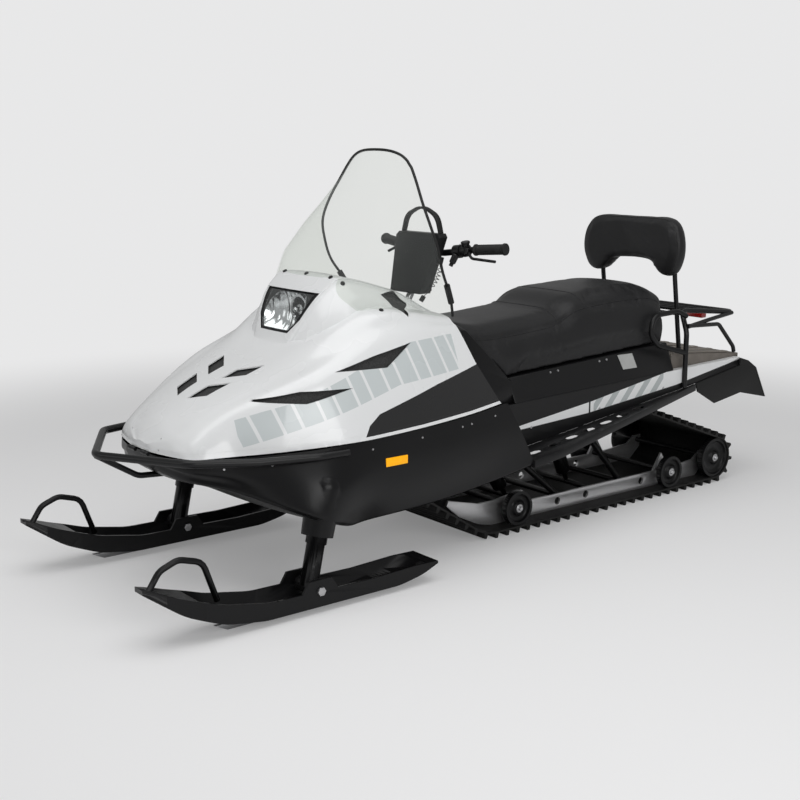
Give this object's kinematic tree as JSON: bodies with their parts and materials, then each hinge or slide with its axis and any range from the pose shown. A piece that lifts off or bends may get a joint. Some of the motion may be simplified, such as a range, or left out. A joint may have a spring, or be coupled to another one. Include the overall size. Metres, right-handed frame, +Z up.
{
  "type": "snowmobile",
  "caption": "Wide-track utility snowmobile with steered skis, opening hood, windscreen, two-level seat with backrest, rear deck and tubular rack",
  "frame": {"origin": "on the ground under the middle of the machine's outer box", "axes": "+Z up, -Y towards the skis' tips, +X towards the rider's left"},
  "size_m": [0.942, 2.909, 1.3343],
  "materials": {
    "white_shell": "glossy moulded hood shell",
    "black_shell": "moulded black polymer",
    "frame_steel": "black painted tube and plate",
    "engine_iron": "plain block for the engine's mass",
    "black_steel": "black powder coat",
    "bare_steel": "bare steel",
    "lamp_bowl": "bright reflector in a dark housing",
    "clear_lens": "clear lens",
    "screen_clear": "clear slightly smoked screen",
    "white_metal": "white painted sheet",
    "black_metal": "black painted folded sheet",
    "black_vinyl": "grained vinyl cover over foam",
    "deck_board": "ribbed grey-brown deck",
    "black_rubber": "black rubber",
    "track_rubber": "ribbed track rubber",
    "red_lens": "red lens",
    "amber_lens": "amber reflector",
    "rail_aluminium": "bare aluminium plate",
    "pad_cover": "moulded pad cover"
  },
  "bodies": {
    "root": {"backrest_frame": "black_steel", "backrest_pad": "black_vinyl", "belly_pan": "black_shell", "bumper": "black_steel", "carrier_rollers": "black_shell", "console": "black_shell", "deck": "deck_board", "drive_axle": "bare_steel", "engine": "engine_iron", "front_frame": "frame_steel", "hood_hinge": "black_steel", "rack": "black_steel", "running_boards": "black_metal", "seat": "black_vinyl", "seat_base": "white_metal", "shocks": "black_steel", "side_reflectors": "amber_lens", "slide_rail_left": "rail_aluminium", "slide_rail_right": "rail_aluminium", "snow_flap": "black_rubber", "suspension_arms": "black_steel", "tail_lamp": "red_lens", "tow_hitch": "black_steel", "track": "track_rubber", "track_wheels": "black_shell", "tunnel": "white_metal"},
    "steering": {"steering_column": "bare_steel", "handlebar": "black_steel", "grips": "black_rubber", "controls": "black_shell", "handlebar_pad": "pad_cover", "pad_strap": "black_rubber", "tether_cord": "black_rubber", "tether_clip": "black_shell"},
    "hood": {"hood": "white_shell", "headlamp": "lamp_bowl", "headlamp_lens": "clear_lens", "windscreen": "screen_clear", "hood_tabs": "black_steel"},
    "leg_left": {"leg_left": "black_steel"},
    "ski_left": {"ski_left": "black_shell", "wear_bar_left": "bare_steel", "ski_bolt_left": "bare_steel"},
    "leg_right": {"leg_right": "black_steel"},
    "ski_right": {"ski_right": "black_shell", "wear_bar_right": "bare_steel", "ski_bolt_right": "bare_steel"}
  },
  "joints": [
    {"name": "handlebar_steer", "type": "hinge", "parent": "root", "child": "steering", "pos_m": [0, -0.142, 0.985], "axis": [0, 0.5, 0.866], "range_deg": [-28, 28]},
    {"name": "hood_open", "type": "hinge", "parent": "root", "child": "hood", "pos_m": [0, -1.26, 0.452], "axis": [1, 0, 0], "range_deg": [0, 60]},
    {"name": "leg_left_steer", "type": "hinge", "parent": "root", "child": "leg_left", "pos_m": [0.4, -0.925, 0.068], "axis": [0, 0.2149, 0.9766], "range_deg": [-28, 28]},
    {"name": "ski_left_pitch", "type": "hinge", "parent": "leg_left", "child": "ski_left", "pos_m": [0.4, -0.925, 0.068], "axis": [1, 0, 0], "range_deg": [-16, 7]},
    {"name": "leg_right_steer", "type": "hinge", "parent": "root", "child": "leg_right", "pos_m": [-0.4, -0.925, 0.068], "axis": [0, 0.2149, 0.9766], "range_deg": [-28, 28]},
    {"name": "ski_right_pitch", "type": "hinge", "parent": "leg_right", "child": "ski_right", "pos_m": [-0.4, -0.925, 0.068], "axis": [1, 0, 0], "range_deg": [-16, 7]}
  ],
  "couplings": [
    {"joint": "leg_left_steer", "follows": "handlebar_steer", "ratio": 1},
    {"joint": "leg_right_steer", "follows": "handlebar_steer", "ratio": 1}
  ]
}
